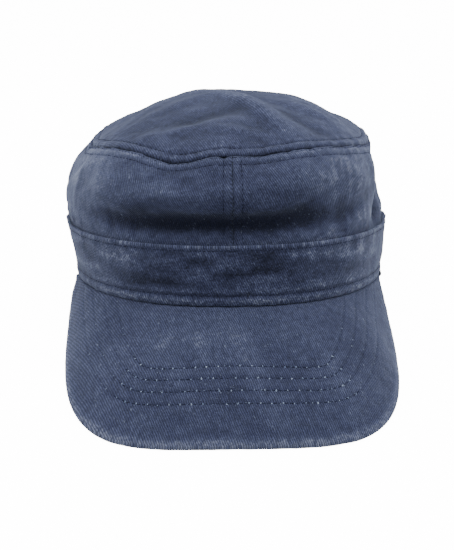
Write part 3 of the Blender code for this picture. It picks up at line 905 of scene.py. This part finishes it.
def makeTop(spec):
    angles = evenAngles(spec["columns"])

    def under(angle, radius):
        return castRay(topTree, capPoint(angle, radius, farOut), -rimUp)

    edges = [(a, roundValue(a, seamRadii)) for a in angles]
    reach = np.array([lastHit(lambda r: under(a, r), 0.85 * edge, 1.12 * edge) for a, edge in edges])
    reach -= 0.45 * mm
    rings = np.array(spec["rings"])
    base = np.array([[under(a, r * fraction) for fraction in rings] for a, r in zip(angles, reach)])
    base = smoothGrid(base, 3, wrap=True)
    grid = refineGrid(base, spec["finer"], spec["finer"], wrap=True)
    angle, radius, height = capCoords(grid)
    flatX = radius * np.sin(angle)
    flatY = -radius * np.cos(angle)
    fromSeam = runLength(grid, 1)
    # The edge is set down on the walls' edge, so that the seam stays closed all the way round.
    above = height[:, :1] - roundValue(angle[:, :1], seamHeights)
    grid = grid + ((np.median(above) - above) * np.exp(-fromSeam / (6.0 * mm)))[..., None] * rimUp
    normals = gridNormals(grid, wrap=True)
    loose = ease(fromSeam, 3.0 * mm, 12.0 * mm)
    push = mm * loose * flatPatches(flatX, flatY, spec["folds"])
    push += spec["lumps"] * loose * softNoise(grid, 19.0 * mm, 31)
    push += 0.2 * mm * ease(fromSeam, 1.0 * mm, 6.0 * mm) * softNoise(grid, 8.0 * mm, 32)
    push += 0.10 * mm * softNoise(grid, 3.6 * mm, 33)
    push += spec["seamPucker"] * np.exp(-fromSeam / (7.5 * mm)) * puckers(angle, fromSeam, 7.5 * mm, 34)
    push += seamRelief(spec, fromSeam)
    outer = grid + push[..., None] * normals
    normals = gridNormals(outer, wrap=True)
    wearAndShade = wearOf(outer, normals, wrap=True, extra=seamWear(spec, fromSeam))
    # Painted shade in the fold hollows and painted light on the fold ridges, from the patch table.
    wearAndShade += flatPatches(flatX, flatY, spec["dyeAndPaintedShade"])
    roll = rollEdge(outer, normals, 0.5 * spec["thickness"], False)
    inner = outer - spec["thickness"] * normals
    skin = np.concatenate([inner[:, ::-1], roll, outer], axis=1)
    uv = np.stack([flatX, flatY], axis=-1)

    def bothSides(values):
        edge = np.repeat(values[:, :1], rollSteps - 1, axis=1)
        return np.concatenate([values[:, ::-1], edge, values], axis=1)

    piece = clothMesh("topCloth", skin, bothSides(uv), bothSides(wearAndShade), wrapU=True, wrapV=False, poles=True)
    finishPiece(piece, "topTwill", "top_panel")
    return piece, outer, normals, fromSeam


topPiece, topOuter, topNormals, topFromSeam = makeTop(topCloth)


# The peak: twill over a stiffener, with four sewn rows along it and a worn front edge.

peakCloth = {
    "columns": 104, "rows": 22, "finer": 4, "thickness": 3.0 * mm,
    # x, y, length, breadth, turn, amount: darker or paler patches; partly dye, partly painted shade darker
    # towards the front edge and the ends, and painted light paler next to the band
    "dyeAndPaintedShade": [
        (-14.0, -92.0, 12.0, 4.0, -66.0, 0.7), (8.0, -98.0, 20.0, 5.0, -62.0, 0.6),
        (-34.0, -90.0, 16.0, 5.0, -60.0, 0.35), (-4.0, -112.0, 46.0, 9.0, 0.0, -0.45),
        (26.0, -106.0, 22.0, 7.0, -55.0, -0.35), (48.0, -100.0, 16.0, 4.0, -62.0, 0.35),
        (-58.0, -88.0, 14.0, 6.0, 60.0, 0.2), (66.0, -84.0, 24.0, 14.0, -60.0, -0.7),
        (0.0, -86.0, 46.0, 7.0, 0.0, 0.45), (-68.0, -84.0, 22.0, 12.0, 60.0, -0.4),
        (-26.0, -104.0, 18.0, 4.0, -62.0, 0.4), (14.0, -116.0, 16.0, 3.0, -62.0, 0.35),
    ],
    "sewnRows": [16.4 * mm, 22.9 * mm, 29.2 * mm, 35.3 * mm], "rowShift": 4.2 * mm, "rowDepth": 0.28 * mm,
    "lumps": 0.45 * mm, "edgeWear": 1.9, "endTuck": 1.8 * mm, "noseSteps": 8,
}


def makePeak(spec):
    low, high = (np.array(c, dtype=float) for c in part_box("peak"))
    heart = np.array([0.5 * (low[0] + high[0]), high[1] - 0.2 * mm])
    endAngle = float(capCoords(np.array([high[0], high[1], 0.02]))[0])

    def onPeak(plan):
        return castRay(peakTree, (plan[0], plan[1], 0.1), (0.0, 0.0, -1.0))

    def rimPlan(turn):
        # On the line where the peak is sewn under the band.
        a = turn / (0.5 * math.pi) * endAngle
        return capPoint(a, outerRadius(bandTree, a, 1.5 * mm) - 1.65 * mm, -0.3 * mm)[:2]

    def edgePlan(turn):
        ray = np.array([math.sin(turn), -math.cos(turn)])
        inside = np.linalg.norm(rimPlan(turn) - heart)
        reach = lastHit(lambda r: onPeak(heart + r * ray), inside + 0.3 * mm, farOut)
        tucked = spec["endTuck"] * (1.0 - float(ease(math.cos(turn), 0.0, 0.22)))
        return heart + (reach - 0.7 * mm - tucked) * ray

    turns = np.radians(np.linspace(-88.5, 88.5, 400))
    edge = np.array([edgePlan(t) for t in turns])
    run = runLength(edge, 0)
    turns = np.interp(np.linspace(0.0, run[-1], spec["columns"]), run, turns)
    edge = np.array([edgePlan(t) for t in turns])
    rim = np.array([rimPlan(t) for t in turns])
    part = np.linspace(0.0, 1.0, spec["rows"])
    base = np.empty((len(turns), len(part), 3))
    for i in range(len(turns)):
        for j, p in enumerate(part):
            plan = edge[i] * (1 - p) + rim[i] * p
            hit = onPeak(plan)
            base[i, j] = base[i, j - 1] if hit is None else hit
    base = smoothGrid(base, 2)
    grid = refineGrid(base, spec["finer"], spec["finer"])
    normals = gridNormals(grid)
    rimline = grid[:, 0]
    edgeDistance = np.min(np.linalg.norm(grid[:, :, None] - rimline[None, None, ::2], axis=-1), axis=2)
    toBand = runLength(grid, 1)
    toBand = toBand[:, -1:] - toBand
    fineTurns = refineRows(turns[:, None], spec["finer"])
    rowField = edgeDistance - spec["rowShift"] * (2.0 * np.cos(fineTurns) ** 2 - 1.0)
    push = spec["lumps"] * softNoise(grid, 24.0 * mm, 41) * ease(edgeDistance, 2.0 * mm, 12.0 * mm)
    push += 0.16 * mm * softNoise(grid, 8.0 * mm, 42)
    push += 0.05 * mm * softNoise(grid, 3.2 * mm, 43)
    for row in spec["sewnRows"]:
        push -= spec["rowDepth"] * bump(rowField - row, 0.65 * mm) * (0.35 + 0.65 * np.cos(fineTurns) ** 2)
    push += 0.12 * mm * bump(edgeDistance - 2.4 * mm, 1.6 * mm)
    push *= ease(toBand, 0.5 * mm, 3.0 * mm)
    push += 0.42 * mm * (1.0 - ease(toBand, 1.5 * mm, 4.5 * mm))
    outer = grid + push[..., None] * normals
    normals = gridNormals(outer)
    rubbed = spec["edgeWear"] * bump(edgeDistance, 3.0 * mm) * (1.0 + 0.3 * softNoise(grid, 9.0 * mm, 44))
    # The rubbed front edge is real wear; the dark strip where the peak goes under the band is painted shade.
    wearAndShade = wearOf(outer, normals, extra=rubbed - 0.8 * bump(toBand - 1.0 * mm, 1.6 * mm))
    # Painted shade and painted light from the patch table.
    wearAndShade += flatPatches(outer[..., 0], outer[..., 1], spec["dyeAndPaintedShade"])
    fromEnds = runLength(outer[:, 0], 0)
    fromEnds = np.minimum(fromEnds, fromEnds[-1] - fromEnds)[:, None]
    thickness = spec["thickness"] * (0.25 + 0.75 * ease(fromEnds, 0.0, 16.0 * mm))
    inner = outer - thickness[..., None] * normals
    tuckRoll = rollEdge(outer, normals, 0.5 * thickness, True, bulge=0.4)
    nose = rollEdge(outer, normals, 0.5 * thickness, False, spec["noseSteps"], bulge=0.8)
    skin = onFloor(np.concatenate([outer, tuckRoll, inner[:, ::-1], nose], axis=1))
    uv = rolledValues(grid[..., :2], spec["noseSteps"])
    wearAndShade = rolledValues(wearAndShade, spec["noseSteps"], inside=0.0)
    piece = clothMesh("peakCloth", skin, uv, wearAndShade, ends=outer.shape[1])
    finishPiece(piece, "peakTwill", "peak")
    return piece, outer, normals, rowField, toBand


peakPiece, peakOuter, peakNormals, peakRowField, peakToBand = makePeak(peakCloth)


# Sewing. One stitch and one needle mark are modelled, and every row is laid with copies of them.

sewing = {
    "seamPitch": 2.4 * mm, "edgePitch": 2.1 * mm, "peakPitch": 2.6 * mm, "fill": 0.84,
    "threadWidth": 0.42 * mm, "threadHeight": 0.32 * mm, "markSize": 0.75 * mm, "markEvery": 2,
    "threadReach": 11.0 * mm, "seamRow": 0.9 * mm,
}


def modelStitch():
    # A short length of thread, arched over the cloth, with its ends pulled down into it.
    bpy.ops.object.select_all(action="DESELECT")
    lying = (0.0, math.pi / 2, 0.0)
    bpy.ops.mesh.primitive_uv_sphere_add(segments=6, ring_count=6, radius=0.5, rotation=lying)
    stitch = bpy.context.object
    bpy.ops.object.transform_apply(location=False, rotation=True, scale=False)
    bpy.ops.object.mode_set(mode="EDIT")
    bpy.ops.mesh.select_all(action="DESELECT")
    bpy.ops.object.mode_set(mode="OBJECT")
    for v in stitch.data.vertices:
        v.select = abs(v.co.x) > 0.35
    bpy.ops.object.mode_set(mode="EDIT")
    bpy.ops.transform.resize(value=(1.0, 1.5, 1.0))
    bpy.ops.transform.translate(value=(0.0, 0.0, -0.35))
    bpy.ops.object.mode_set(mode="OBJECT")
    return takeShape(stitch)


def modelMark():
    # A needle mark: a small rough tuft of pale fibre.
    bpy.ops.object.select_all(action="DESELECT")
    bpy.ops.mesh.primitive_ico_sphere_add(subdivisions=1, radius=0.5)
    mark = bpy.context.object
    bpy.ops.object.mode_set(mode="EDIT")
    bpy.ops.mesh.select_all(action="SELECT")
    bpy.ops.transform.resize(value=(1.0, 0.75, 0.45))
    bpy.ops.object.mode_set(mode="OBJECT")
    return takeShape(mark)


def takeShape(piece):
    corners = np.array([v.co for v in piece.data.vertices])
    faces = [list(p.vertices) for p in piece.data.polygons]
    bpy.data.objects.remove(piece, do_unlink=True)
    return corners, faces


def rowAt(grid, normals, field, value, keep=None):
    # Where a field reaches a value along each column of a grid, as a line of points and normals.
    below = field <= value
    crossing = below[:, :-1] != below[:, 1:]
    rows = np.argmax(crossing, axis=1)
    columns = np.arange(len(grid))
    a, b = field[columns, rows], field[columns, rows + 1]
    t = np.clip((value - a) / np.where(np.abs(b - a) < 1e-9, 1e-9, b - a), 0.0, 1.0)[:, None]
    line = grid[columns, rows] * (1 - t) + grid[columns, rows + 1] * t
    facing = unit(normals[columns, rows] * (1 - t) + normals[columns, rows + 1] * t)
    good = crossing.any(axis=1)
    if keep is not None:
        good &= keep[columns, rows]
    return line[good], facing[good]


def beside(grid, normals, away, value, keep):
    # Up the wall beside an upright seam: one point on each row of the wall.
    line = []
    facing = []
    for row in range(grid.shape[1]):
        column = int(np.argmin(np.abs(away[:, row] - value)))
        if keep[column, row]:
            line.append(grid[column, row])
            facing.append(normals[column, row])
    return np.array(line), np.array(facing)


def spaced(line, facing, pitch, closed=False):
    # Even steps along a line: places, directions and normals.
    if closed:
        line = np.concatenate([line, line[:1]])
        facing = np.concatenate([facing, facing[:1]])
    run = runLength(line, 0)
    count = max(int(run[-1] / pitch), 1)
    marks = run[-1] * (np.arange(count) + 0.5) / count

    def at(values, where):
        return np.stack([np.interp(where, run, values[:, k]) for k in range(3)], axis=-1)

    reach = 0.4 * pitch
    ahead = unit(at(line, marks + reach) - at(line, marks - reach))
    return at(line, marks), ahead, unit(at(facing, marks))


def layCopies(shape, rows, sizes, sink, seed, jitter=0.0, uneven=0.16, kept=1.0):
    # rows holds (places, directions, normals); sizes are along, across and upwards.
    corners, faces = shape
    rng = np.random.default_rng(seed)
    allCorners = []
    for places, ahead, facing in rows:
        side = unit(np.cross(facing, ahead))
        for p, a, s, n in zip(places, ahead, side, facing):
            if rng.uniform() > kept:
                continue
            grow = 1.0 + uneven * rng.uniform(-1.0, 1.0, 3)
            sway = 0.07 * rng.uniform(-1.0, 1.0)
            along = a + sway * s
            across = s - sway * a
            middle = p + jitter * (rng.uniform(-1.0, 1.0) * a + rng.uniform(-1.0, 1.0) * s) - sink * n
            scaled = corners * (np.array(sizes) * grow)
            allCorners.append(middle + scaled[:, :1] * along + scaled[:, 1:2] * across + scaled[:, 2:] * n)
    count = len(corners)
    allFaces = [[k * count + i for i in face] for k in range(len(allCorners)) for face in faces]
    return np.concatenate(allCorners), allFaces


def sewnPiece(name, copies, material):
    corners, faces = copies
    mesh = bpy.data.meshes.new(name)
    mesh.from_pydata(corners.tolist(), [], faces)
    mesh.update()
    mesh.shade_smooth()
    mesh.materials.append(material)
    piece = bpy.data.objects.new(name, mesh)
    bpy.context.scene.collection.objects.link(piece)
    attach(piece, "root")
    print("stage:", name, len(faces), "faces")


def makeThread(name, dark, pale, roughness):
    # Cotton thread, unevenly faded along its length.
    material = bpy.data.materials.new(name)
    material.use_nodes = True
    tree = material.node_tree
    shader = tree.nodes["Principled BSDF"]
    place = addNode(tree, "ShaderNodeTexCoord").outputs["Object"]
    fade = addRange(tree, addNoise(tree, place, 420.0, 2.0), 0.3, 0.75)
    tree.links.new(addMix(tree, fade, (*dark, 1.0), (*pale, 1.0)), shader.inputs["Base Color"])
    twist = addNode(tree, "ShaderNodeBump", {"Strength": 0.6, "Distance": 0.1 * mm,
                                             "Height": addNoise(tree, place, 2600.0, 1.0)})
    tree.links.new(twist.outputs["Normal"], shader.inputs["Normal"])
    shader.inputs["Roughness"].default_value = roughness
    shader.inputs["Specular IOR Level"].default_value = 0.12
    return material


navyThread = makeThread("navyThread", (0.003, 0.004, 0.015), (0.020, 0.026, 0.056), 0.85)
paleFibre = makeThread("paleFibre", (0.13, 0.17, 0.27), (0.36, 0.43, 0.56), 0.9)
fadedFibre = makeThread("fadedFibre", (0.07, 0.09, 0.15), (0.20, 0.24, 0.33), 0.9)
stitchShape = modelStitch()
markShape = modelMark()


def sewCap(spec):
    seamSize = (spec["seamPitch"] * spec["fill"], spec["threadWidth"], spec["threadHeight"])
    edgeSize = (spec["edgePitch"] * spec["fill"], 0.9 * spec["threadWidth"], spec["threadHeight"])
    peakSize = (spec["peakPitch"], 1.1 * spec["threadWidth"], 0.9 * spec["threadHeight"])
    wallOuter, wallNormals, _, toSeam = wallRing
    edgeOfWall = (wallOuter, wallNormals, -toSeam)
    angle, _, height = capCoords(wallOuter)
    fromFront = angle * meanRadius
    fromBack = np.where(angle > 0.0, angle - math.pi, angle + math.pi) * meanRadius
    crownRows = [
        spaced(*rowAt(*edgeOfWall, -wallCloth["rowFromSeam"]), spec["seamPitch"], True),
        spaced(*rowAt(*edgeOfWall, -spec["seamRow"]), spec["seamPitch"], True),
        spaced(*rowAt(topOuter, topNormals, topFromSeam, topCloth["rowFromSeam"]), spec["seamPitch"], True),
    ]
    shown = (height > wallCloth["bandTop"] + 1.0 * mm) & (toSeam > 1.5 * mm)
    for away in (fromFront, fromBack):
        for place in (-wallCloth["rowFromFront"], wallCloth["rowFromFront"]):
            crownRows.append(spaced(*beside(wallOuter, wallNormals, away, place, shown), spec["seamPitch"]))
    crown = layCopies(stitchShape, crownRows, seamSize, 0.01 * mm, 51, uneven=0.3, kept=0.93)
    fromTop = bandUp - bandUp[:, -1:]
    bandRows = [
        spaced(*rowAt(bandOuter, bandNormals, fromTop, -bandCloth["upperRow"]), spec["edgePitch"], True),
        spaced(*rowAt(bandOuter, bandNormals, bandUp, bandCloth["lowerRow"]), spec["edgePitch"], True),
    ]
    band = layCopies(stitchShape, bandRows, edgeSize, 0.02 * mm, 52)
    peakRows = []
    markRows = []
    sideRows = []
    for row in peakCloth["sewnRows"]:
        line, facing = rowAt(peakOuter, peakNormals, peakRowField, row, peakToBand > 2.5 * mm)
        ahead = line[:, 1] < line[:, 1].min() + spec["threadReach"]
        peakRows.append(spaced(line[ahead], facing[ahead], spec["peakPitch"]))
        markRows.append(spaced(line[ahead], facing[ahead], spec["markEvery"] * spec["peakPitch"]))
        sideRows.append(spaced(line, facing, 1.5 * spec["peakPitch"]))
    peak = layCopies(stitchShape, peakRows, peakSize, 0.03 * mm, 53)
    tuft = (spec["markSize"], 2.4 * spec["markSize"], spec["markSize"])
    marks = layCopies(markShape, markRows, tuft, 0.02 * mm, 54, jitter=0.3 * mm, uneven=0.35, kept=0.95)
    faint = layCopies(markShape, sideRows, tuft, 0.08 * mm, 55, jitter=0.5 * mm, uneven=0.45, kept=0.7)
    sewnPiece("crownStitches", crown, navyThread)
    sewnPiece("bandStitches", band, navyThread)
    sewnPiece("peakStitches", peak, navyThread)
    sewnPiece("needleMarks", marks, paleFibre)
    sewnPiece("sideMarks", faint, fadedFibre)


sewCap(sewing)
